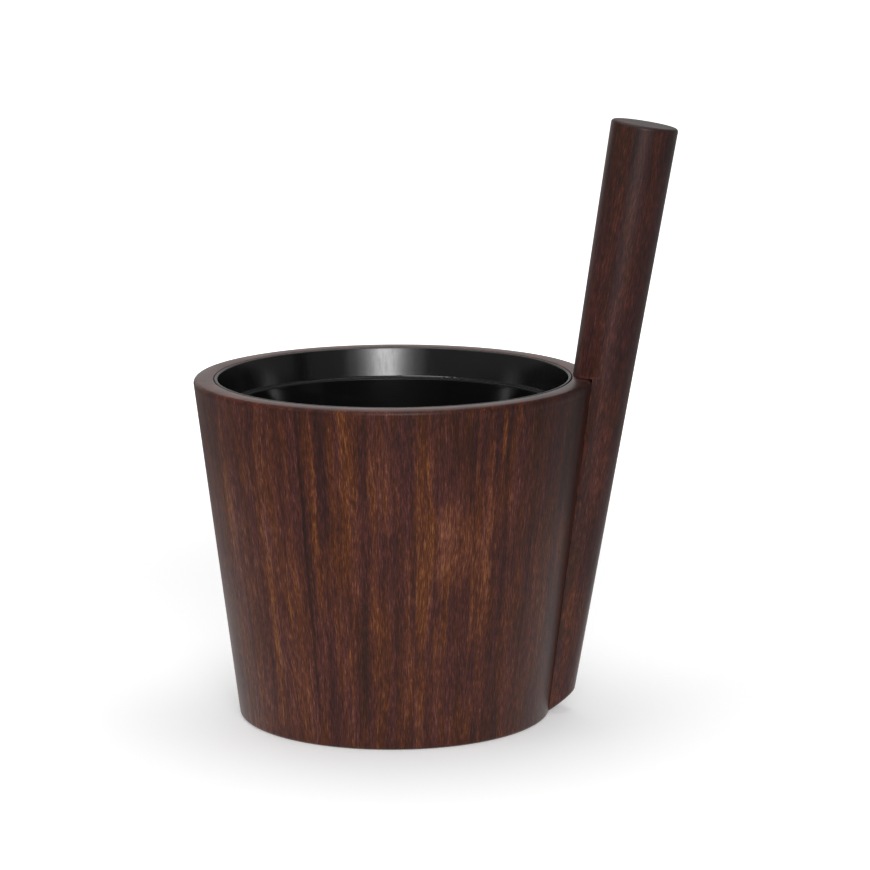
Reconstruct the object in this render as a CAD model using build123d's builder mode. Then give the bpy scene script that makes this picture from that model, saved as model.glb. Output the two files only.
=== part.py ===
from build123d import *
import os
from math import atan, cos, degrees, radians, sin, sqrt, tan

os.makedirs("parts", exist_ok=True)

# A staved wooden piggin: a tapered pail whose handle stands up from one side,
# with a moulded liner that drops in from above and lifts out for emptying.
# It stands on Z = 0 with the handle on the +X side, and the origin is the middle of the
# oblong that it covers there, handle included. Radii are from the pail's upright axis.

# Pail, in millimetres and degrees
rim_diameter = 240.0
base_diameter = 188.4
body_height = 206.5
wall_thickness = 15.5          # measured level, below the rebate
rim_outer_round = 2.4
rim_inner_round = 0.6
foot_outer_round = 2.5
foot_inner_bevel = 1.5

# Staves, joined edge to edge by a tongue and a groove
stave_count = 20
handle_stave_angle = 22.5      # the stave behind the handle is the widest
tongue_thickness = 4.0
tongue_length = 3.0
joint_clearance = 0.05

# Bottom boards, held in the croze: a groove round the inside of the staves
chime_height = 12.0            # the staves stand this far below the croze
croze_height = 5.2
croze_depth = 4.5
board_count = 3
board_thickness = 10.0
croze_clearance = 0.2          # above the boards' edge, which enters the croze
board_drop = 2.5               # underside of the boards below that edge
board_clearance = 0.5          # room for the boards to swell outwards
board_tongue_thickness = 3.4
board_tongue_length = 4.0

# Liner, hung by the step in its wall in a rebate round the top of the staves
rim_width = 12.2               # what the rebate leaves of the wall, at the rim
rebate_draft = 9.5             # the rebate and the collar in it narrow downwards
rebate_edge_bevel = 0.8
collar_depth = 18.3            # from the rim down to the step inside the liner
collar_clearance = 0.3
seat_gap = 0.3
liner_wall = 2.0
liner_clearance = 1.0
liner_floor = 2.5
liner_floor_gap = 4.5          # from the boards up to the liner's floor
liner_corner = 12.0            # inside the liner, between wall and floor
lip_round = 0.8
step_round = 1.2               # at the foot of the collar
step_edge_round = 0.4
foot_ring_inset = 4.0          # from where the liner's outer corner begins
foot_ring_width = 2.5
foot_ring_height = 1.5

# Handle: a turned, tapered rod that leans outwards with the wall
handle_standoff = 6.0          # from the edge of the rim out to the rod's axis
handle_flare = 2.02            # it leans out this much more than the wall, in degrees
handle_top_height = 357.9      # to the centre of its end
handle_top_diameter = 40.4
handle_foot_diameter = 29.2
handle_end_round = 2.0
shoulder_gap = 0.4             # from the rim up to the shoulder
glue_line = 0.1
foot_bevel = 34.5              # rise of the bevelled foot, outwards from the wall
foot_tip_height = 2.1
foot_edge_round = 3.0
flat_depth = 0.6               # two flats beside the seat, deepest at the shoulder
flat_length = 36.0
flat_width = 26.0
flat_turn = 101.5              # round the rod from its outermost side

# Screws, driven from inside the pail through the handle's stave
screw_count = 3
lowest_screw = 55.0            # above the foot
highest_screw = 38.5           # below the rim
screw_length = 25.0
screw_diameter = 4.0
screw_head_diameter = 8.0
screw_head_sink = 0.3
screw_point_length = 5.0
screw_point_diameter = 0.8
screw_fit = 0.15               # room round the screw, at its side
screw_tip_room = 1.5
recess_width = 1.2
recess_margin = 1.8            # from the cross recess to the edge of the head
recess_depth = 1.4

# Sizes that follow from them
rim_radius = rim_diameter / 2
base_radius = base_diameter / 2
wall_slope = (rim_radius - base_radius) / body_height
wall_angle = degrees(atan(wall_slope))
mouth_radius = rim_radius - rim_width
step_height = body_height - collar_depth
collar_foot = step_height - liner_wall
rebate_height = collar_foot - seat_gap
croze_top = chime_height + croze_height
board_bottom = chime_height - board_drop
board_top = board_bottom + board_thickness
board_edge = croze_height - croze_clearance
tongue_inset = (rim_outer_round + wall_thickness - croze_depth) / 2    # from the outside, to its middle
liner_bottom = board_top + liner_floor_gap
shoulder_height = body_height + shoulder_gap
lean = radians(wall_angle + handle_flare)
rod_foot = rim_radius + handle_standoff - tan(lean) * body_height
rod_length = handle_top_height / cos(lean)
handle_reach = rod_foot + rod_length * sin(lean) + handle_top_diameter / 2 * cos(lean)
pail_x = (rim_radius - handle_reach) / 2
pail_axis = Axis(origin=(pail_x, 0, 0), direction=(0, 0, 1))


def outer_radius(height):
    return base_radius + wall_slope * height


def inner_radius(height):
    return outer_radius(height) - wall_thickness


def liner_radius(height):
    return inner_radius(height) - liner_clearance


def rebate_radius(height):
    return mouth_radius - (body_height - height) * tan(radians(rebate_draft))


def collar_radius(height):
    return rebate_radius(height) - collar_clearance


def level_plane(height):
    """The level plane at a height, centred on the pail's axis."""
    return Plane(origin=(pail_x, 0, height))


def radial_plane(angle):
    """The upright plane through the pail's axis at an angle, with X outwards and Y up."""
    turn = radians(angle)
    return Plane(origin=(pail_x, 0, 0), x_dir=(cos(turn), sin(turn), 0), z_dir=(sin(turn), -cos(turn), 0))


def tongue_corners(growth):
    """The tongue between two staves, seen along its joint: it runs the full height."""
    half = tongue_thickness / 2 + growth
    return [
        (base_radius - tongue_inset - half, 0),
        (base_radius - tongue_inset + half, 0),
        (rim_radius - tongue_inset + half, body_height),
        (rim_radius - tongue_inset - half, body_height),
    ]


# Seats of the screws, on the inside of the wall, square to it and facing the pail's axis
facing_axis = (-cos(radians(wall_angle)), 0, sin(radians(wall_angle)))
screw_spacing = (body_height - highest_screw - lowest_screw) / (screw_count - 1)
screw_heights = [lowest_screw + screw_spacing * number for number in range(screw_count)]
screw_seats = [
    Plane(origin=(pail_x + inner_radius(height), 0, height), x_dir=(0, 1, 0), z_dir=facing_axis)
    for height in screw_heights
]

# Staves: the handle's stave comes first, and the others share the rest of the circle
stave_corners = [
    ((base_radius, 0), foot_outer_round),
    ((rim_radius, body_height), rim_outer_round),
    ((mouth_radius, body_height), rim_inner_round),
    ((rebate_radius(rebate_height), rebate_height), 0),
    ((inner_radius(rebate_height) + rebate_edge_bevel, rebate_height), 0),
    ((inner_radius(rebate_height - rebate_edge_bevel), rebate_height - rebate_edge_bevel), 0),
    ((inner_radius(croze_top), croze_top), 0),
    ((inner_radius(croze_top) + croze_depth, croze_top), 0),
    ((inner_radius(croze_top) + croze_depth, chime_height), 0),
    ((inner_radius(chime_height), chime_height), 0),
    ((inner_radius(foot_inner_bevel), foot_inner_bevel), 0),
    ((inner_radius(0) + foot_inner_bevel, 0), 0),
]
stave_points, stave_roundings = zip(*stave_corners)
plain_stave_angle = (360 - handle_stave_angle) / (stave_count - 1)
start_angle = -handle_stave_angle / 2
for number in range(stave_count):
    behind_handle = number == 0
    stave_angle = handle_stave_angle if behind_handle else plain_stave_angle
    with BuildPart() as stave:
        with BuildSketch(radial_plane(start_angle)):
            with BuildLine():
                FilletPolyline(stave_points, radius=stave_roundings, close=True)
            make_face()
        revolve(axis=pail_axis, revolution_arc=stave_angle)
        with BuildSketch(radial_plane(start_angle)):
            with BuildLine():
                Polyline(tongue_corners(joint_clearance), close=True)
            make_face()
        extrude(amount=-(tongue_length + joint_clearance), mode=Mode.SUBTRACT)
        with BuildSketch(radial_plane(start_angle + stave_angle)):
            with BuildLine():
                Polyline(tongue_corners(0), close=True)
            make_face()
        extrude(amount=-tongue_length)
        if behind_handle:
            with Locations(*screw_seats):
                CounterSinkHole(
                    radius=screw_diameter / 2 + screw_fit,
                    counter_sink_radius=screw_head_diameter / 2 + screw_head_sink + screw_fit,
                    depth=2 * wall_thickness,
                    counter_sink_angle=90,
                )
    stave.part.label = "handle_stave" if behind_handle else f"stave_{number:02d}"
    export_step(stave.part, f"parts/{stave.part.label}.step")
    start_angle += stave_angle

# Bottom boards: strips of one disc, with a tongue on one side and a groove in the other
edge_radius = inner_radius(croze_top) + croze_depth - board_clearance
disc_radius = inner_radius(board_bottom) - board_clearance
board_width = 2 * edge_radius / board_count
board_middle = board_bottom + board_thickness / 2
board_groove_length = board_tongue_length + joint_clearance
for number in range(board_count):
    left = -edge_radius + number * board_width
    right = left + board_width
    with BuildPart() as board:
        with BuildSketch(radial_plane(0)):
            with BuildLine():
                Polyline(
                    (0, board_bottom),
                    (disc_radius, board_bottom),
                    (disc_radius, chime_height),
                    (edge_radius, chime_height),
                    (edge_radius, chime_height + board_edge),
                    (disc_radius, chime_height + board_edge),
                    (disc_radius, board_top),
                    (0, board_top),
                    close=True,
                )
            make_face()
        revolve(axis=pail_axis)
        with BuildSketch(level_plane(board_middle)):
            with Locations(((left + right) / 2, 0)):
                Rectangle(board_width, 2 * edge_radius)
        extrude(amount=board_thickness, both=True, mode=Mode.INTERSECT)
        if number < board_count - 1:
            tongue_chord = 2 * sqrt(disc_radius**2 - max(abs(right), abs(right + board_tongue_length)) ** 2)
            with BuildSketch(level_plane(board_middle)):
                with Locations((right + board_tongue_length / 2, 0)):
                    Rectangle(board_tongue_length, tongue_chord)
            extrude(amount=board_tongue_thickness / 2, both=True)
        if number > 0:
            with BuildSketch(level_plane(board_middle)):
                with Locations((left + board_groove_length / 2, 0)):
                    Rectangle(board_groove_length, 2 * edge_radius)
            extrude(amount=board_tongue_thickness / 2 + joint_clearance, both=True, mode=Mode.SUBTRACT)
    board.part.label = f"bottom_board_{number + 1}"
    export_step(board.part, f"parts/{board.part.label}.step")

# Liner: a moulded bowl with a collar, the step that it hangs by, and a foot ring
liner_corners = [
    ((0, liner_bottom), 0),
    ((liner_radius(liner_bottom), liner_bottom), liner_corner + liner_wall),
    ((liner_radius(collar_foot), collar_foot), 0),
    ((collar_radius(collar_foot), collar_foot), 0),
    ((collar_radius(body_height), body_height), lip_round),
    ((collar_radius(body_height) - liner_wall, body_height), lip_round),
    ((collar_radius(step_height) - liner_wall, step_height), step_round),
    ((liner_radius(step_height) - liner_wall, step_height), step_edge_round),
    ((liner_radius(liner_bottom + liner_floor) - liner_wall, liner_bottom + liner_floor), liner_corner),
    ((0, liner_bottom + liner_floor), 0),
]
liner_points, liner_roundings = zip(*liner_corners)
with BuildPart() as liner:
    with BuildSketch(radial_plane(0)):
        with BuildLine():
            FilletPolyline(liner_points, radius=liner_roundings, close=True)
        make_face()
    revolve(axis=pail_axis)
    foot_ring_radius = liner_radius(liner_bottom) - liner_corner - liner_wall - foot_ring_inset
    with BuildSketch(level_plane(liner_bottom)):
        Circle(foot_ring_radius)
        Circle(foot_ring_radius - foot_ring_width, mode=Mode.SUBTRACT)
    extrude(amount=-foot_ring_height)
liner.part.label = "liner"
export_step(liner.part, "parts/liner.step")

# Handle: the rod, its seat coped to the pail, its shoulder over the rim and its bevelled foot
rod_slope = (handle_top_diameter - handle_foot_diameter) / 2 / rod_length
rod_plane = Plane(origin=(pail_x + rod_foot, 0, 0), x_dir=(cos(lean), 0, -sin(lean)), z_dir=(0, -1, 0))
rod_axis = Axis(origin=rod_plane.origin, direction=rod_plane.y_dir)
bevel_slope = radians(foot_bevel)
bevel_plane = Plane(
    origin=(pail_x + base_radius, 0, foot_tip_height),
    x_dir=(0, 1, 0),
    z_dir=(sin(bevel_slope), 0, -cos(bevel_slope)),
)


def rod_radius(along):
    return handle_foot_diameter / 2 + rod_slope * along


with BuildPart() as handle:
    spare = handle_foot_diameter
    with BuildSketch(rod_plane):
        with BuildLine():
            FilletPolyline(
                (0, -spare),
                (rod_radius(-spare), -spare),
                (rod_radius(rod_length), rod_length),
                (0, rod_length),
                radius=(0, 0, handle_end_round, 0),
                close=True,
            )
        make_face()
    revolve(axis=rod_axis)
    with BuildSketch(radial_plane(0)):
        with BuildLine():
            Polyline(
                (0, -2 * spare),
                (outer_radius(-2 * spare) + glue_line, -2 * spare),
                (outer_radius(shoulder_height) + glue_line, shoulder_height),
                (mouth_radius, shoulder_height),
                (mouth_radius, handle_top_height + spare),
                (0, handle_top_height + spare),
                close=True,
            )
        make_face()
    revolve(axis=pail_axis, mode=Mode.SUBTRACT)
    split(bisect_by=bevel_plane, keep=Keep.BOTTOM)
    bevel_face = handle.faces().filter_by(GeomType.PLANE).sort_by(Axis.Z)[0]
    fillet(bevel_face.edges().sort_by(Axis.X)[-1], radius=foot_edge_round)
    flat_top = shoulder_height / cos(lean)
    for side in (-1, 1):
        turn = radians(side * flat_turn)
        outwards = rod_plane.x_dir * cos(turn) + Vector(0, 1, 0) * sin(turn)
        across = outwards.cross(rod_plane.y_dir)
        with BuildSketch(Plane(origin=rod_plane.origin, x_dir=outwards, z_dir=across)):
            with BuildLine():
                Polyline(
                    (rod_radius(flat_top) - flat_depth, flat_top),
                    (rod_radius(flat_top - flat_length), flat_top - flat_length),
                    (rod_radius(flat_top) + flat_depth, flat_top - flat_length),
                    (rod_radius(flat_top) + flat_depth, flat_top),
                    close=True,
                )
            make_face()
        extrude(amount=flat_width / 2, both=True, mode=Mode.SUBTRACT)
    with Locations(*screw_seats):
        Hole(radius=screw_diameter / 2 + screw_fit, depth=screw_length + screw_tip_room)
handle.part.label = "handle"
export_step(handle.part, "parts/handle.step")

# Screws: countersunk, with a cross recess, one solid each
recess_span = screw_head_diameter - 2 * recess_margin
with BuildPart() as handle_screws:
    for seat in screw_seats:
        across = seat.x_dir.cross(seat.z_dir)
        with BuildSketch(Plane(origin=seat.origin, x_dir=seat.x_dir, z_dir=across)):
            with BuildLine():
                Polyline(
                    (0, -screw_head_sink),
                    (screw_head_diameter / 2, -screw_head_sink),
                    (screw_diameter / 2, -screw_head_sink - (screw_head_diameter - screw_diameter) / 2),
                    (screw_diameter / 2, screw_point_length - screw_length),
                    (screw_point_diameter / 2, -screw_length),
                    (0, -screw_length),
                    close=True,
                )
            make_face()
        revolve(axis=Axis(origin=seat.origin, direction=seat.z_dir))
        with BuildSketch(seat.offset(-screw_head_sink)):
            Rectangle(recess_span, recess_width)
            Rectangle(recess_width, recess_span)
        extrude(amount=-recess_depth, mode=Mode.SUBTRACT)
handle_screws.part.label = "handle_screws"
export_step(handle_screws.part, "parts/handle_screws.step")
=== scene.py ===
from math import atan, cos, pi, radians, sin, tan

import bpy
from mathutils import Matrix, Vector

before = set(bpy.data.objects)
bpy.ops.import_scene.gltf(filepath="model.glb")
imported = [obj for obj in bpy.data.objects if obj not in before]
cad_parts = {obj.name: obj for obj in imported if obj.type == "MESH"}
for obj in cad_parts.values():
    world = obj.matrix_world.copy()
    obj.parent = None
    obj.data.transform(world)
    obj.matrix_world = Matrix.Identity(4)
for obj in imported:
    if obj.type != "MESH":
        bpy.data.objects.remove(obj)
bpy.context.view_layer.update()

# Sizes of the piggin that the finishes follow, in metres and degrees
PAIL_X = -0.02515
RIM_RADIUS = 0.120
FOOT_RADIUS = 0.0942
MOUTH_RADIUS = 0.1078
RIM_HEIGHT = 0.2065
HANDLE_TOP = 0.3579
HANDLE_EXTRA_LEAN = 2.02
HANDLE_STANDOFF = 0.006
SHOULDER_GAP = 0.0004
HANDLE_STAVE_ANGLE = 22.5
STAVE_COUNT = 20
BOARD_COUNT = 3

# What follows from them: the other staves, the lean of wall and handle, the handle's foot and shoulder
STAVE_ANGLE = (360 - HANDLE_STAVE_ANGLE) / (STAVE_COUNT - 1)
WALL_ANGLE = atan((RIM_RADIUS - FOOT_RADIUS) / RIM_HEIGHT)
HANDLE_ANGLE = WALL_ANGLE + radians(HANDLE_EXTRA_LEAN)
HANDLE_FOOT_X = PAIL_X + RIM_RADIUS + HANDLE_STANDOFF - tan(HANDLE_ANGLE) * RIM_HEIGHT
SHOULDER_HEIGHT = RIM_HEIGHT + SHOULDER_GAP

# The crown of the rim: how far from the mouth it is highest, how strongly it curves, how far it reaches,
# and the heights between which it sets in
CROWN_INSET = 0.0045
CROWN_CURVE = 20.0
CROWN_REACH = 0.0077
CROWN_BAND = (RIM_HEIGHT - 0.006, RIM_HEIGHT - 0.003)

# The step inside the liner: its height, its inner corner, its middle, and how it falls away from the axis
STEP_HEIGHT = 0.1882
STEP_CORNER = 0.0999
STEP_MIDDLE = 0.1010
STEP_FALL = 0.25

# Camera: where it stands, then how it is turned from looking at its target
CAMERA_TARGET = Vector((PAIL_X, 0, 0.1))
CAMERA_DISTANCE = 2.2
CAMERA_SIDE = radians(-89)
CAMERA_RISE = radians(12.53)
CAMERA_PAN = radians(-0.659)
CAMERA_TILT = radians(1.797)
CAMERA_ROLL = radians(-0.358)
LENS = 150.07
SENSOR = 36
FARTHEST_SEEN = 50


def shade(red, green, blue):
    """A colour written in everyday 0 to 255 steps, as the linear values that a shader takes."""
    linear = []
    for step in (red, green, blue):
        part = step / 255
        linear.append(part / 12.92 if part <= 0.04045 else ((part + 0.055) / 1.055) ** 2.4)
    return (*linear, 1)


WHITE = shade(255, 255, 255)


# Node building
def put(tree, kind, inputs=None, **settings):
    """One node: its settings, and its inputs set to values or joined to other nodes' outputs."""
    made = tree.nodes.new(kind)
    for name, value in settings.items():
        setattr(made, name, value)
    for key, value in (inputs or {}).items():
        if isinstance(value, bpy.types.NodeSocket):
            tree.links.new(value, made.inputs[key])
        else:
            made.inputs[key].default_value = value
    return made


def calc(tree, operation, *values, clamp=False):
    made = put(tree, "ShaderNodeMath", dict(enumerate(values)), operation=operation, use_clamp=clamp)
    return made.outputs[0]


def vector_calc(tree, operation, *values):
    made = put(tree, "ShaderNodeVectorMath", dict(enumerate(values)), operation=operation)
    return made.outputs[0]


def length_of(tree, vector):
    return put(tree, "ShaderNodeVectorMath", {0: vector}, operation="LENGTH").outputs["Value"]


def parts_of(tree, vector):
    """The X, Y and Z of a vector."""
    return put(tree, "ShaderNodeSeparateXYZ", {0: vector}).outputs


def object_place(tree):
    """Where a point of the surface is, in the frame that all pieces share."""
    return put(tree, "ShaderNodeTexCoord").outputs["Object"]


def stretched(tree, place, across, along):
    """The place counted in lengths of the grain: across it in X and Y, along it in Z."""
    return vector_calc(tree, "MULTIPLY", place, (1 / across, 1 / across, 1 / along))


def noise(tree, place, detail=2.0, roughness=0.5, output="Fac"):
    inputs = {"Vector": place, "Scale": 1.0, "Detail": detail, "Roughness": roughness}
    return put(tree, "ShaderNodeTexNoise", inputs).outputs[output]


def between(tree, value, start, full):
    """0 where the value is at start, 1 where it is at full, and a smooth change from one to the other."""
    inputs = {"Value": value, "From Min": start, "From Max": full}
    return put(tree, "ShaderNodeMapRange", inputs, interpolation_type="SMOOTHSTEP").outputs["Result"]


def shift(tree, share, first, last):
    """The first value where the share is 0, and the last one where it is 1."""
    return calc(tree, "MULTIPLY_ADD", share, last - first, first)


def colour_mix(tree, share, first, last):
    inputs = {"Factor": share, "A": first, "B": last}
    return put(tree, "ShaderNodeMix", inputs, data_type="RGBA").outputs["Result"]


def bump(tree, height):
    """The normal of a surface raised by this many metres."""
    return put(tree, "ShaderNodeBump", {"Strength": 1.0, "Distance": 1.0, "Height": height}).outputs[0]


def new_group(name, inputs, outputs):
    """An empty node group with named sockets, and its nodes that bring them in and out."""
    tree = bpy.data.node_groups.new(name, "ShaderNodeTree")
    for label, kind, value in inputs:
        socket = tree.interface.new_socket(label, in_out="INPUT", socket_type="NodeSocket" + kind)
        if kind == "Float":
            socket.default_value = value
    for label in outputs:
        kind = "NodeSocketColor" if label == "Colour" else "NodeSocketFloat"
        tree.interface.new_socket(label, in_out="OUTPUT", socket_type=kind)
    return tree, tree.nodes.new("NodeGroupInput").outputs, tree.nodes.new("NodeGroupOutput").inputs


def use_group(tree, group, inputs):
    return put(tree, "ShaderNodeGroup", inputs, node_tree=group).outputs


def new_material(name):
    """A material, its nodes, and the surface shader among them."""
    made = bpy.data.materials.new(name)
    made.use_nodes = True
    return made, made.node_tree, made.node_tree.nodes["Principled BSDF"]


def dress(node_name, finish):
    """Gives a piece its finish in place of the plain one that it comes with."""
    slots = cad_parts[node_name].data.materials
    slots.clear()
    slots.append(finish)


def axis_distance(tree, place):
    """How far a place is from the pail's upright axis."""
    apart = parts_of(tree, place)
    x = calc(tree, "SUBTRACT", apart["X"], PAIL_X)
    y = apart["Y"]
    return calc(tree, "SQRT", calc(tree, "MULTIPLY_ADD", x, x, calc(tree, "MULTIPLY", y, y)))


def mouth_distance(tree, place):
    """How far a place is from the edge between the rim and the mouth."""
    across = calc(tree, "SUBTRACT", axis_distance(tree, place), MOUTH_RADIUS)
    up = calc(tree, "SUBTRACT", parts_of(tree, place)["Z"], RIM_HEIGHT)
    return calc(tree, "SQRT", calc(tree, "MULTIPLY_ADD", across, across, calc(tree, "MULTIPLY", up, up)))


# Sizes of the grain and of other patterns are in metres, first across the grain and then along it.
# Growth rings: their width, by how many rings they wander and over what size, where in each ring its late
# wood is darkest, how steeply it darkens towards there, and how dark it is
RING_WIDTH = 0.0024
RING_WANDER = 2.2
RING_WANDER_SIZE = (0.02, 0.3)
LATE_WOOD_PEAK = 0.93
LATE_WOOD_STEEPNESS = 3.0
LATE_WOOD_DARKER = 0.12

# How far the whole grain sways sideways, and over what size
SWAY = 0.014
SWAY_SIZE = (0.05, 0.16)

# Features of the grain: the size of each, across and along, its detail and roughness, and how much it
# lightens and darkens the stain
GRAIN_FEATURES = {
    "bands": (0.0085, 0.300, 4.0, 0.55, 0.84),
    "figure": (0.0160, 0.045, 3.0, 0.60, 0.50),
    "fibre": (0.0009, 0.018, 4.0, 0.65, 0.60),
    "flecks": (0.0007, 0.005, 3.0, 0.60, 1.32),
    "dashes": (0.0020, 0.007, 3.0, 0.60, 0.36),
}

# Pores and warmer parts: their sizes, and the levels of noise between which they set in
PORE_SIZE = (0.0005, 0.004)
PORE_BAND = (0.60, 0.72)
PORES_DARKER = 0.16
WARMTH_SIZE = (0.005, 0.06)
WARMTH_BAND = (0.34, 0.70)


def timber_grain():
    """Solid wood with its grain along Z: growth rings round the log's heart, and features over them."""
    sizes = [("Place", "Vector", None), ("Ring Width", "Float", RING_WIDTH)]
    tree, given, result = new_group("Timber grain", sizes, ["Level", "Warmth", "Pores", "Height"])

    # No line of the grain is straight
    drift = noise(tree, stretched(tree, given["Place"], *SWAY_SIZE), output="Color")
    centred = vector_calc(tree, "SUBTRACT", drift, (0.5, 0.5, 0.5))
    sideways = vector_calc(tree, "MULTIPLY", centred, (SWAY, SWAY, 0.0))
    bent = vector_calc(tree, "ADD", given["Place"], sideways)

    # Each growth ring ends in a narrow dark line of late wood
    from_heart = length_of(tree, vector_calc(tree, "MULTIPLY", bent, (1, 1, 0)))
    unevenness = noise(tree, stretched(tree, bent, *RING_WANDER_SIZE), detail=3.0)
    wander = calc(tree, "MULTIPLY", unevenness, RING_WANDER)
    rings = calc(tree, "ADD", calc(tree, "DIVIDE", from_heart, given["Ring Width"]), wander)
    turn = calc(tree, "FRACT", rings)
    darkening = calc(tree, "POWER", turn, LATE_WOOD_STEEPNESS)
    late_wood = calc(tree, "MULTIPLY", darkening, between(tree, turn, 1.0, LATE_WOOD_PEAK))

    level = 0.0
    features = {}
    for name, (across, along, detail, roughness, contrast) in GRAIN_FEATURES.items():
        feature = noise(tree, stretched(tree, bent, across, along), detail, roughness)
        level = calc(tree, "MULTIPLY_ADD", calc(tree, "SUBTRACT", feature, 0.5), contrast, level)
        features[name] = feature
    pore_noise = noise(tree, stretched(tree, bent, *PORE_SIZE), detail=2.0, roughness=0.6)
    pores = between(tree, pore_noise, *PORE_BAND)
    level = calc(tree, "MULTIPLY_ADD", late_wood, -LATE_WOOD_DARKER, level)
    level = calc(tree, "MULTIPLY_ADD", pores, -PORES_DARKER, level)
    warmth_noise = noise(tree, stretched(tree, bent, *WARMTH_SIZE), detail=3.0, roughness=0.6)
    warmth = between(tree, warmth_noise, *WARMTH_BAND)
    height = calc(tree, "SUBTRACT", features["flecks"], pores)
    for label, value in (("Level", level), ("Warmth", warmth), ("Pores", pores), ("Height", height)):
        tree.links.new(value, result[label])
    return tree


def streak_along_grain():
    """A streak along the grain: heartwood colour, and on some pieces painted shade and a painted sheen.
    Core is the share of its width at full strength.
    """
    sizes = [
        ("Across", "Float", 0.0),
        ("Along", "Float", 0.0),
        ("Middle", "Float", 0.0),
        ("Slant", "Float", 0.0),
        ("Half Width", "Float", 0.002),
        ("Core", "Float", 0.2),
        ("Low End", "Float", 0.0),
        ("High End", "Float", 0.2),
        ("Fade", "Float", 0.02),
    ]
    tree, given, result = new_group("Streak along the grain", sizes, ["Mask"])
    middle = calc(tree, "ADD", given["Middle"], calc(tree, "MULTIPLY", given["Along"], given["Slant"]))
    away = calc(tree, "ABSOLUTE", calc(tree, "SUBTRACT", given["Across"], middle))
    inside = between(tree, calc(tree, "DIVIDE", away, given["Half Width"]), 1.0, given["Core"])
    from_low = calc(tree, "SUBTRACT", given["Along"], given["Low End"])
    from_high = calc(tree, "SUBTRACT", given["High End"], given["Along"])
    above = calc(tree, "DIVIDE", from_low, given["Fade"], clamp=True)
    below = calc(tree, "DIVIDE", from_high, given["Fade"], clamp=True)
    ends = calc(tree, "MULTIPLY", above, below)
    tree.links.new(calc(tree, "MULTIPLY", inside, ends), result["Mask"])
    return tree


# Worn lines, and the shoulder's line of wear and painted highlight, break up into patches: their sizes,
# and the levels of noise between which they set in
EDGE_PATCH_SIZE = (0.006, 0.006)
EDGE_PATCH_BAND = (0.38, 0.66)
SHOULDER_PATCH_SIZE = (0.008, 0.008)
SHOULDER_PATCH_BAND = (0.3, 0.6)


def edge_wear():
    """Where an edge has been handled: a thin, broken line along it, from how far off the edge is."""
    sizes = [("Place", "Vector", None), ("Distance", "Float", 1.0), ("Reach", "Float", 0.002)]
    tree, given, result = new_group("Edge wear", sizes, ["Mask"])
    near = between(tree, calc(tree, "DIVIDE", given["Distance"], given["Reach"]), 1.0, 0.0)
    patch_noise = noise(tree, stretched(tree, given["Place"], *EDGE_PATCH_SIZE), detail=4.0, roughness=0.65)
    patches = between(tree, patch_noise, *EDGE_PATCH_BAND)
    tree.links.new(calc(tree, "MULTIPLY", near, patches), result["Mask"])
    return tree


def rim_crown():
    """The slight crown that sanding leaves across the rim, as a height in metres."""
    tree, given, result = new_group("Rim crown", [("Place", "Vector", None)], ["Height"])
    across = calc(tree, "SUBTRACT", axis_distance(tree, given["Place"]), MOUTH_RADIUS + CROWN_INSET)
    drop = calc(tree, "MULTIPLY", calc(tree, "MULTIPLY", across, across), CROWN_CURVE)
    crown = calc(tree, "SUBTRACT", CROWN_CURVE * CROWN_REACH**2, drop)
    on_rim = between(tree, parts_of(tree, given["Place"])["Z"], *CROWN_BAND)
    tree.links.new(calc(tree, "MULTIPLY", calc(tree, "MAXIMUM", crown, 0.0), on_rim), result["Height"])
    return tree


# Tones of the stained wood from dark heart lines to pale sapwood, where it is cool and where it is warm
COOL_TONES = [
    (0.00, shade(33, 19, 17)),
    (0.30, shade(51, 27, 25)),
    (0.50, shade(67, 34, 31)),
    (0.70, shade(86, 47, 42)),
    (1.00, shade(122, 80, 66)),
]
WARM_TONES = [
    (0.00, shade(38, 20, 15)),
    (0.30, shade(57, 29, 16)),
    (0.50, shade(75, 38, 20)),
    (0.70, shade(97, 54, 28)),
    (1.00, shade(136, 87, 50)),
]


def tone_scale(tree, level, tones):
    ramp = put(tree, "ShaderNodeValToRGB", {"Fac": level})
    stops = ramp.color_ramp.elements
    for number, (spot, colour) in enumerate(tones):
        stop = stops[number] if number < len(stops) else stops.new(spot)
        stop.position = spot
        stop.color = colour
    return ramp.outputs["Color"]


def wood_stain():
    """The colour of the stained wood, from how light and how warm it is."""
    sizes = [("Level", "Float", 0.5), ("Warmth", "Float", 0.5)]
    tree, given, result = new_group("Wood stain", sizes, ["Colour"])
    cool = tone_scale(tree, given["Level"], COOL_TONES)
    warm = tone_scale(tree, given["Level"], WARM_TONES)
    tree.links.new(colour_mix(tree, given["Warmth"], cool, warm), result["Colour"])
    return tree


TIMBER_GRAIN = timber_grain()
STREAK_ALONG_GRAIN = streak_along_grain()
EDGE_WEAR = edge_wear()
RIM_CROWN = rim_crown()
WOOD_STAIN = wood_stain()

# How light the stain is, from 0 to 1: its middle level, and how darkening towards one end, wear, the
# painted highlight along the shoulder and end grain change it
MIDDLE_LEVEL = 0.49
END_DARKENING = 0.12
MOUTH_WEAR_LIGHTER = 0.12
SHOULDER_WEAR_AND_HIGHLIGHT_LIGHTER = 0.26
END_GRAIN_DARKER = 0.26

# How dull the lacquer is: what wiping takes off and adds, in patches, and what pores and end grain add
WIPING_SIZE = (0.03, 0.05)
WIPING = 0.06
PORES_DULLER = 0.12
END_GRAIN_DULLER = 0.22

# Lengths in metres: the end of a piece over which it grows darker, how far under the handle's top its
# end grain starts and is full, how high above the shoulder its line of wear and painted highlight is, how
# far from the line's middle it starts and is full, and the relief of the grain
END_DARKENING_LENGTH = 0.07
END_GRAIN_BAND = (0.0022, 0.0003)
SHOULDER_LINE_RISE = 0.0006
SHOULDER_LINE_BAND = (0.0013, 0.0003)
GRAIN_RELIEF = 0.00002


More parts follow.
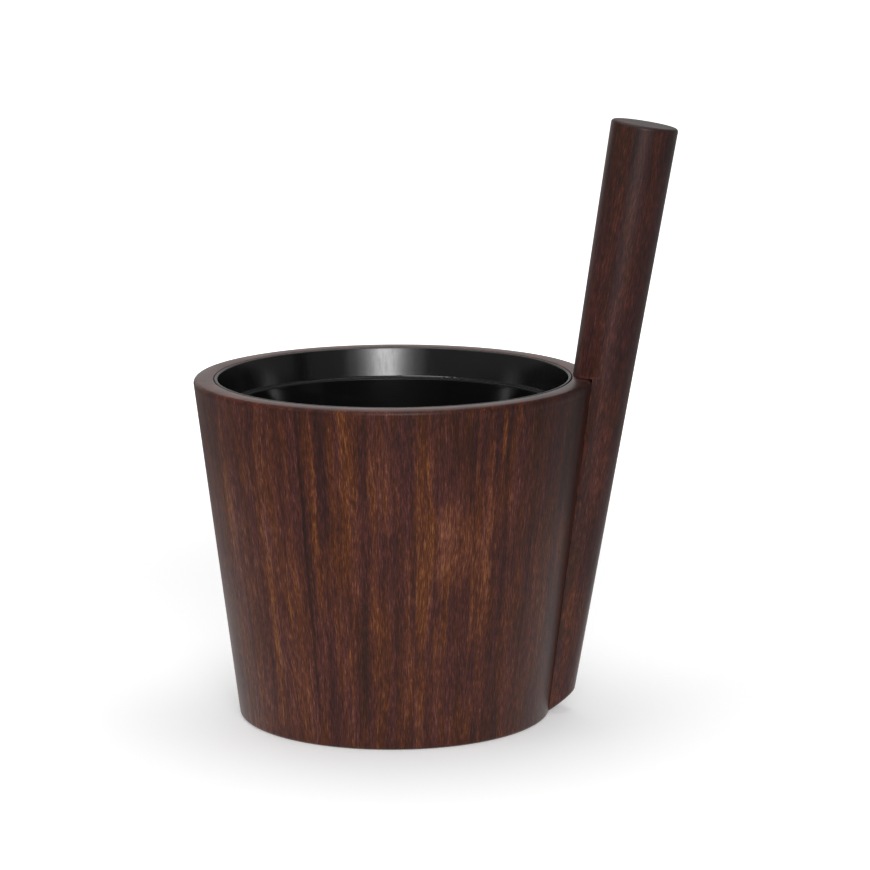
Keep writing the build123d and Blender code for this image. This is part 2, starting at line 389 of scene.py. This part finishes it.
def shoulder_wear_and_highlight(tree, place):
    """A pale line along the shoulder, where the handle overhangs the rim: wear, and a painted highlight of
    its lower edge.
    """
    apart = parts_of(tree, place)
    off_line = calc(tree, "SUBTRACT", apart["Z"], SHOULDER_HEIGHT + SHOULDER_LINE_RISE)
    near = between(tree, calc(tree, "ABSOLUTE", off_line), *SHOULDER_LINE_BAND)
    rim_end = PAIL_X + RIM_RADIUS
    overhanging = between(tree, apart["X"], rim_end + HANDLE_STANDOFF, rim_end)
    line = calc(tree, "MULTIPLY", near, overhanging)
    patches = between(tree, noise(tree, stretched(tree, place, *SHOULDER_PATCH_SIZE)), *SHOULDER_PATCH_BAND)
    return calc(tree, "MULTIPLY", line, patches)


def wood_finish(
    name,
    grain_turn,
    origin,
    log_place,
    tone,
    dark_end_height,
    warming=0.0,
    streaks=(),
    end_height=None,
    polish=0.4,
    shine=0.16,
    on_rim=False,
):
    """Stained and lacquered wood. grain_turn turns the grain upright about origin, log_place is where in
    the log the piece was cut, and dark_end_height is where along the grain it is darkest, as the wood
    darkens towards that end. A piece with an end_height shows end grain there, and a worn shoulder with a
    painted highlight along it. polish is how dull it is, and shine how much it mirrors. A piece on_rim has
    its share of the crown and of the worn mouth."""
    made, tree, surface = new_material(name)
    place = object_place(tree)
    turning = {"Vector": place, "Location": grain_turn @ -origin, "Rotation": grain_turn.to_euler()}
    own_place = put(tree, "ShaderNodeMapping", turning).outputs[0]
    apart = parts_of(tree, own_place)
    grain = use_group(tree, TIMBER_GRAIN, {"Place": vector_calc(tree, "ADD", own_place, log_place)})

    level = calc(tree, "ADD", grain["Level"], MIDDLE_LEVEL + tone)
    warmth = calc(tree, "ADD", grain["Warmth"], warming, clamp=True)
    # The wood grows darker towards one end of the piece
    towards_dark_end = between(tree, apart["Z"], dark_end_height - END_DARKENING_LENGTH, dark_end_height)
    level = calc(tree, "MULTIPLY_ADD", towards_dark_end, -END_DARKENING, level)
    for middle, slant, half_width, low, high, lighter, warmer in streaks:
        inputs = {
            "Across": apart["Y"],
            "Along": apart["Z"],
            "Middle": middle,
            "Slant": slant,
            "Half Width": half_width,
            "Low End": low,
            "High End": high,
        }
        streak = use_group(tree, STREAK_ALONG_GRAIN, inputs)["Mask"]
        level = calc(tree, "MULTIPLY_ADD", streak, lighter, level)
        warmth = calc(tree, "MULTIPLY_ADD", streak, warmer, warmth, clamp=True)

    wiping = noise(tree, stretched(tree, place, *WIPING_SIZE), detail=3.0)
    dull = shift(tree, wiping, polish - WIPING, polish + WIPING)
    dull = calc(tree, "MULTIPLY_ADD", grain["Pores"], PORES_DULLER, dull)
    height = calc(tree, "MULTIPLY", grain["Height"], GRAIN_RELIEF)
    if on_rim:
        wear_inputs = {"Place": place, "Distance": mouth_distance(tree, place)}
        worn = use_group(tree, EDGE_WEAR, wear_inputs)["Mask"]
        level = calc(tree, "MULTIPLY_ADD", worn, MOUTH_WEAR_LIGHTER, level)
        height = calc(tree, "ADD", height, use_group(tree, RIM_CROWN, {"Place": place})["Height"])
    if end_height:
        end_start, end_full = END_GRAIN_BAND
        end_grain = between(tree, apart["Z"], end_height - end_start, end_height - end_full)
        # The shoulder's pale line: wear, and a painted highlight of its lower edge
        level = calc(tree, "MULTIPLY_ADD", shoulder_wear_and_highlight(tree, place), SHOULDER_WEAR_AND_HIGHLIGHT_LIGHTER, level)
        level = calc(tree, "MULTIPLY_ADD", end_grain, -END_GRAIN_DARKER, level)
        dull = calc(tree, "MULTIPLY_ADD", end_grain, END_GRAIN_DULLER, dull)

    stain = use_group(tree, WOOD_STAIN, {"Level": level, "Warmth": warmth})
    tree.links.new(stain["Colour"], surface.inputs["Base Color"])
    tree.links.new(dull, surface.inputs["Roughness"])
    tree.links.new(bump(tree, height), surface.inputs["Normal"])
    surface.inputs["Specular IOR Level"].default_value = shine
    return made


# Streaks that stand out on the staves in front, by the stave's number: where each lies across the stave and
# how it slants, its half width, its low and high end, how much lighter it is and how much warmer
FRONT_STREAKS = {
    14: [
        (-0.0110, -0.030, 0.0015, 0.010, 0.220, -0.26, 0.0),
        (-0.0020, 0.000, 0.0060, 0.110, 0.220, -0.16, -0.3),
        (0.0105, 0.000, 0.0050, 0.090, 0.220, 0.09, 0.25),
        (0.0140, 0.015, 0.0026, -0.010, 0.100, -0.24, 0.0),
    ],
    15: [
        (-0.0135, 0.000, 0.0028, 0.010, 0.105, -0.20, 0.0),
        (0.0000, 0.000, 0.0200, 0.130, 0.240, 0.08, 0.1),
        (0.0100, 0.010, 0.0060, 0.110, 0.220, -0.14, -0.4),
        (0.0000, 0.000, 0.0200, -0.020, 0.085, -0.05, 0.0),
    ],
    16: [
        (-0.0110, -0.020, 0.0080, 0.060, 0.240, 0.13, 0.6),
        # A broad lighter, warmer patch: a painted sheen of the lacquer
        (0.0050, 0.000, 0.0210, 0.092, 0.158, 0.24, 0.35),
    ],
    17: [
        (0.0020, -0.012, 0.0022, 0.172, 0.209, 0.46, 1.0),
        # The painted sheen patch, carried on over the edge of stave 17
        (-0.0120, 0.000, 0.0110, 0.085, 0.150, 0.12, 0.0),
    ],
    # Staves 18 and 19 darker over their upper part: painted shade beside the handle
    18: [(0.0000, 0.000, 0.0300, 0.110, 0.300, -0.10, 0.0)],
    19: [(0.0000, 0.000, 0.0300, 0.120, 0.300, -0.12, 0.0)],
}

# Streaks of the handle, in the same terms
HANDLE_STREAKS = [
    (0.0000, 0.000, 0.0500, -0.050, 0.215, 0.07, 0.15),
    (0.0000, 0.000, 0.0500, -0.050, 0.090, 0.07, 0.0),
    # A darker, cooler band down the handle's right side: painted shade
    (0.0140, 0.000, 0.0110, -0.050, 0.400, -0.13, -0.3),
    (-0.0040, 0.000, 0.0040, 0.250, 0.400, -0.14, 0.0),
    (-0.0120, 0.000, 0.0060, 0.300, 0.400, 0.08, 0.3),
]

# How much lighter than the middle level each stave in front is, and the step between the others' tones.
# Staves 18 and 19, beside the handle, are set darker as painted shade.
FRONT_TONES = {11: 0.12, 12: 0.12, 13: 0.11, 14: 0.07, 15: 0.01, 16: 0.01, 17: 0.01, 18: -0.05, 19: -0.12}
TONE_STEP = 0.015

# Where in the log the staves are cut, in metres: the first places outwards from its heart and sideways, and
# the steps to the others outwards, sideways and along it
LOG_OUTWARD = 0.06
LOG_OUTWARD_STEP = 0.011
LOG_SIDEWAYS = -0.07
LOG_SIDEWAYS_STEP = 0.023
LOG_LENGTH_STEP = 0.31


def stave_middle(number):
    """The direction of a stave's middle from the pail's axis. Stave 0 is the one behind the handle."""
    if number == 0:
        return 0.0
    return radians(HANDLE_STAVE_ANGLE / 2 + (number - 0.5) * STAVE_ANGLE)


def stave_log_place(number):
    """Where in the log a stave is cut: scattered across it, and each one further along than the last."""
    outward = LOG_OUTWARD + LOG_OUTWARD_STEP * (number * 7 % 5)
    sideways = LOG_SIDEWAYS + LOG_SIDEWAYS_STEP * (number * 3 % 7)
    return Vector((outward, sideways, LOG_LENGTH_STEP * number))


def stave_tone(number):
    """How much lighter than the middle level a stave is. The tones of those behind are scattered."""
    return FRONT_TONES.get(number, TONE_STEP * ((number * 5 % 7) - 3))


def finish_staves():
    """The staves, each from a board of its own, with the grain running up the leaning wall."""
    for number in range(STAVE_COUNT):
        name = "handle_stave" if number == 0 else f"stave_{number:02d}"
        turn = stave_middle(number)
        finish = wood_finish(
            f"lacquered {name}",
            grain_turn=Matrix.Rotation(-WALL_ANGLE, 3, "Y") @ Matrix.Rotation(-turn, 3, "Z"),
            origin=Vector((PAIL_X + FOOT_RADIUS * cos(turn), FOOT_RADIUS * sin(turn), 0)),
            log_place=stave_log_place(number),
            tone=stave_tone(number),
            dark_end_height=RIM_HEIGHT,
            streaks=FRONT_STREAKS.get(number, ()),
            on_rim=True,
        )
        dress(name, finish)


def finish_handle():
    """The handle, its grain along its own axis, turned so that its streaks lie side by side in front."""
    finish = wood_finish(
        "lacquered handle",
        grain_turn=Matrix.Rotation(pi / 2, 3, "Z") @ Matrix.Rotation(-HANDLE_ANGLE, 3, "Y"),
        origin=Vector((HANDLE_FOOT_X, 0, 0)),
        log_place=Vector((0.055, 0.02, 7.3)),
        tone=-0.11,
        dark_end_height=HANDLE_TOP,
        warming=-0.3,
        streaks=HANDLE_STREAKS,
        end_height=HANDLE_TOP / cos(HANDLE_ANGLE),
        polish=0.34,
        shine=0.27,
    )
    dress("handle", finish)


def finish_boards():
    """The bottom boards, matt, with the grain across the pail."""
    for number in range(1, BOARD_COUNT + 1):
        finish = wood_finish(
            f"bottom board {number}",
            grain_turn=Matrix.Rotation(pi / 2, 3, "X"),
            origin=Vector((PAIL_X, 0, 0)),
            log_place=Vector((0.04, 0.03 * number, 0.5 * number)),
            tone=-0.1,
            dark_end_height=FOOT_RADIUS,
            polish=0.55,
        )
        dress(f"bottom_board_{number}", finish)


finish_staves()
finish_handle()
finish_boards()

# The liner's tones, the sizes of its haze, of the upright marks of its mould and of its slight ripple, and
# the levels of noise between which the marks set in
LINER_BLACK = shade(9, 9, 10)
LINER_HAZE = shade(17, 17, 18)
HAZE_SIZE = (0.03, 0.03)
DRAW_MARK_SIZE = (0.0016, 0.05)
RIPPLE_SIZE = (0.02, 0.02)
DRAW_MARK_BAND = (0.4, 0.75)

# Parts of the liner with a finish of their own, each from where it starts to where it is full, in metres:
# the collar and the lip by height, the step and its corner by the distance from the step's height, and the
# corner also by the distance from the axis
COLLAR_BAND = (STEP_HEIGHT + 0.0004, STEP_HEIGHT + 0.0014)
LIP_BAND = (RIM_HEIGHT - 0.0010, RIM_HEIGHT - 0.0002)
STEP_BAND = (0.0005, 0.0002)
CORNER_BAND = (0.0010, 0.0006)
CORNER_RADII = (STEP_CORNER, STEP_CORNER - 0.0003)

# How dull the liner is on its wall and on its collar, and how much duller its marks and parts are
WALL_DULLNESS = 0.04
COLLAR_DULLNESS = 0.12
DRAW_MARKS_DULLER = 0.08
HAZE_DULLER = 0.05
CORNER_DULLER = 0.55
STEP_DULLER = 0.30
LIP_DULLER = 0.30

# The liner's relief in metres, and the draw marks' share of it
LINER_RELIEF = 0.00004
DRAW_MARK_RELIEF = 0.04


def liner_finish():
    """Black glossy plastic, with a faint haze of wiping and the upright marks of its mould."""
    made, tree, surface = new_material("moulded liner")
    place = object_place(tree)
    height = parts_of(tree, place)["Z"]
    radius = axis_distance(tree, place)
    haze = noise(tree, stretched(tree, place, *HAZE_SIZE), detail=4.0, roughness=0.6)
    draw_marks = noise(tree, stretched(tree, place, *DRAW_MARK_SIZE), detail=3.0, roughness=0.6)

    off_step = calc(tree, "ABSOLUTE", calc(tree, "SUBTRACT", height, STEP_HEIGHT))
    near_corner = between(tree, radius, *CORNER_RADII)
    on_corner = calc(tree, "MULTIPLY", between(tree, off_step, *CORNER_BAND), near_corner)
    on_step = between(tree, off_step, *STEP_BAND)
    on_lip = between(tree, height, *LIP_BAND)
    on_collar = between(tree, height, *COLLAR_BAND)
    collar_marks = calc(tree, "MULTIPLY", between(tree, draw_marks, *DRAW_MARK_BAND), on_collar)

    dull = shift(tree, on_collar, WALL_DULLNESS, COLLAR_DULLNESS)
    dull = calc(tree, "MULTIPLY_ADD", collar_marks, DRAW_MARKS_DULLER, dull)
    dull = calc(tree, "MULTIPLY_ADD", haze, HAZE_DULLER, dull)
    dull = calc(tree, "MULTIPLY_ADD", on_corner, CORNER_DULLER, dull)
    dull = calc(tree, "MULTIPLY_ADD", on_step, STEP_DULLER, dull)
    dull = calc(tree, "MULTIPLY_ADD", on_lip, LIP_DULLER, dull)

    ripple = noise(tree, stretched(tree, place, *RIPPLE_SIZE))
    ripple = calc(tree, "ADD", ripple, calc(tree, "MULTIPLY", draw_marks, DRAW_MARK_RELIEF))
    fall = calc(tree, "MULTIPLY", calc(tree, "SUBTRACT", radius, STEP_MIDDLE), -STEP_FALL)
    relief = calc(tree, "MULTIPLY_ADD", ripple, LINER_RELIEF, calc(tree, "MULTIPLY", fall, on_step))

    tree.links.new(colour_mix(tree, haze, LINER_BLACK, LINER_HAZE), surface.inputs["Base Color"])
    tree.links.new(dull, surface.inputs["Roughness"])
    tree.links.new(bump(tree, relief), surface.inputs["Normal"])
    return made


# The screws: the tones of their plating, how dull it is, and the size of the marks in it
ZINC_DARK = shade(168, 168, 164)
ZINC_LIGHT = shade(206, 205, 198)
ZINC_DULLNESS = (0.22, 0.42)
PLATING_MARK_SIZE = (0.0006, 0.003)


def screw_finish():
    """Zinc-plated steel, with fine marks of making in it."""
    made, tree, surface = new_material("plated screws")
    marking = stretched(tree, object_place(tree), *PLATING_MARK_SIZE)
    marks = noise(tree, marking, detail=3.0, roughness=0.6)
    tree.links.new(colour_mix(tree, marks, ZINC_DARK, ZINC_LIGHT), surface.inputs["Base Color"])
    tree.links.new(shift(tree, marks, *ZINC_DULLNESS), surface.inputs["Roughness"])
    surface.inputs["Metallic"].default_value = 1.0
    return made


dress("liner", liner_finish())
dress("handle_screws", screw_finish())

# The floor: its radius and tone, how far under the pail it lies, and the light that it adds for the camera
# and in reflections, each from a near distance to a far one and from a near level to a far one
FLOOR_RADIUS = 14
FLOOR_DROP = 0.0002
FLOOR_SHADE = shade(226, 226, 226)
OPEN_DISTANCES = (0.35, 1.3)
OPEN_LEVELS = (0.30, 1.00)
MIRROR_DISTANCES = (0.10, 0.75)
MIRROR_LEVELS = (0.90, 0.30)


def make_floor():
    """The pale floor: lifted to white for the camera, but with its shadow, and bright in reflections."""
    bpy.ops.object.select_all(action="DESELECT")
    centre = (0, 0, -FLOOR_DROP)
    bpy.ops.mesh.primitive_circle_add(vertices=96, radius=FLOOR_RADIUS, fill_type="NGON", location=centre)
    floor = bpy.context.object
    floor.name = "floor"
    made = bpy.data.materials.new("pale floor")
    made.use_nodes = True
    tree = made.node_tree
    tree.nodes.clear()
    seen = put(tree, "ShaderNodeLightPath").outputs
    mirrored = calc(tree, "MAXIMUM", seen["Is Glossy Ray"], seen["Is Transmission Ray"])
    distance = length_of(tree, object_place(tree))
    open_level = shift(tree, between(tree, distance, *OPEN_DISTANCES), *OPEN_LEVELS)
    open_level = calc(tree, "MULTIPLY", seen["Is Camera Ray"], open_level)
    mirror_level = shift(tree, between(tree, distance, *MIRROR_DISTANCES), *MIRROR_LEVELS)
    plain = put(tree, "ShaderNodeBsdfDiffuse", {"Color": FLOOR_SHADE}).outputs[0]
    open_glow = put(tree, "ShaderNodeEmission", {"Color": WHITE, "Strength": open_level}).outputs[0]
    direct = put(tree, "ShaderNodeAddShader", {0: plain, 1: open_glow}).outputs[0]
    in_mirror = put(tree, "ShaderNodeEmission", {"Color": WHITE, "Strength": mirror_level}).outputs[0]
    both = put(tree, "ShaderNodeMixShader", {0: mirrored, 1: direct, 2: in_mirror}).outputs[0]
    put(tree, "ShaderNodeOutputMaterial", {"Surface": both})
    floor.data.materials.append(made)


# The room's light: how far round behind the pail it brightens, and its level in front and behind
BEHIND_BAND = (0.62, 0.97)
ROOM_LEVELS = (0.25, 1.00)


def light_room():
    """White all round to the camera, but lit as a studio is: bright behind the object, dimmer in front."""
    world = bpy.data.worlds.new("studio")
    bpy.context.scene.world = world
    world.use_nodes = True
    tree = world.node_tree
    tree.nodes.clear()
    direction = put(tree, "ShaderNodeTexCoord").outputs["Generated"]
    behind = between(tree, parts_of(tree, direction)["Y"], *BEHIND_BAND)
    seen = put(tree, "ShaderNodeLightPath").outputs
    open_view = calc(tree, "MAXIMUM", seen["Is Camera Ray"], seen["Is Transmission Ray"])
    level = calc(tree, "MAXIMUM", shift(tree, behind, *ROOM_LEVELS), open_view)
    sky = put(tree, "ShaderNodeBackground", {"Color": WHITE, "Strength": level}).outputs[0]
    put(tree, "ShaderNodeOutputWorld", {"Surface": sky})


# What the softboxes face, and the soft window in front. Its layers go from its bright middle outwards, each
# with its width and its light, and each stands a little behind the one before.
SOFTBOX_TARGET = Vector((PAIL_X, 0, 0.15))
WINDOW_SIDE = radians(-84)
WINDOW_RISE = radians(18)
WINDOW_DISTANCE = 2.6
WINDOW_HEIGHT = 0.9
WINDOW_LAYERS = ((0.55, 6.0), (0.9, 4.4), (1.3, 2.4), (1.8, 1.4), (2.6, 0.8))
LAYER_GAP = 0.01


def softbox(name, side, rise, distance, width, height, radiance):
    """A lit rectangle that faces the pail, from the direction side and at the angle rise above level."""
    lamp = bpy.data.lights.new(name, "AREA")
    lamp.shape = "RECTANGLE"
    lamp.size = width
    lamp.size_y = height
    lamp.energy = radiance * pi * width * height
    holder = bpy.data.objects.new(name, lamp)
    bpy.context.scene.collection.objects.link(holder)
    away = Vector((cos(side) * cos(rise), sin(side) * cos(rise), sin(rise)))
    holder.location = SOFTBOX_TARGET + away * distance
    holder.rotation_euler = away.to_track_quat("Z", "Y").to_euler()
    holder.visible_camera = False


def light_object():
    """The soft window in front, and dimmer softboxes on the left and overhead."""
    for number, (width, radiance) in enumerate(WINDOW_LAYERS):
        name = f"front softbox {number + 1}"
        distance = WINDOW_DISTANCE + LAYER_GAP * number
        softbox(name, WINDOW_SIDE, WINDOW_RISE, distance, width, WINDOW_HEIGHT, radiance)
    softbox("left softbox", radians(-150), radians(28), distance=2.6, width=1.5, height=1.0, radiance=1.5)
    softbox("top softbox", radians(90), radians(84), distance=1.4, width=1.2, height=1.2, radiance=3.2)


def place_camera():
    """The camera of the photograph: a long lens a little above the rim."""
    level = cos(CAMERA_RISE)
    away = Vector((cos(CAMERA_SIDE) * level, sin(CAMERA_SIDE) * level, sin(CAMERA_RISE)))
    pan = Matrix.Rotation(CAMERA_PAN, 3, "Y")
    tilt = Matrix.Rotation(CAMERA_TILT, 3, "X")
    roll = Matrix.Rotation(CAMERA_ROLL, 3, "Z")
    turned = away.to_track_quat("Z", "Y").to_matrix() @ pan @ tilt @ roll
    lens = bpy.data.cameras.new("camera")
    lens.sensor_width = SENSOR
    lens.lens = LENS
    lens.clip_end = FARTHEST_SEEN
    camera = bpy.data.objects.new("camera", lens)
    bpy.context.scene.collection.objects.link(camera)
    camera.matrix_world = Matrix.Translation(CAMERA_TARGET + away * CAMERA_DISTANCE) @ turned.to_4x4()
    bpy.context.scene.camera = camera


make_floor()
light_room()
light_object()
place_camera()
bpy.context.scene.view_settings.view_transform = "Standard"
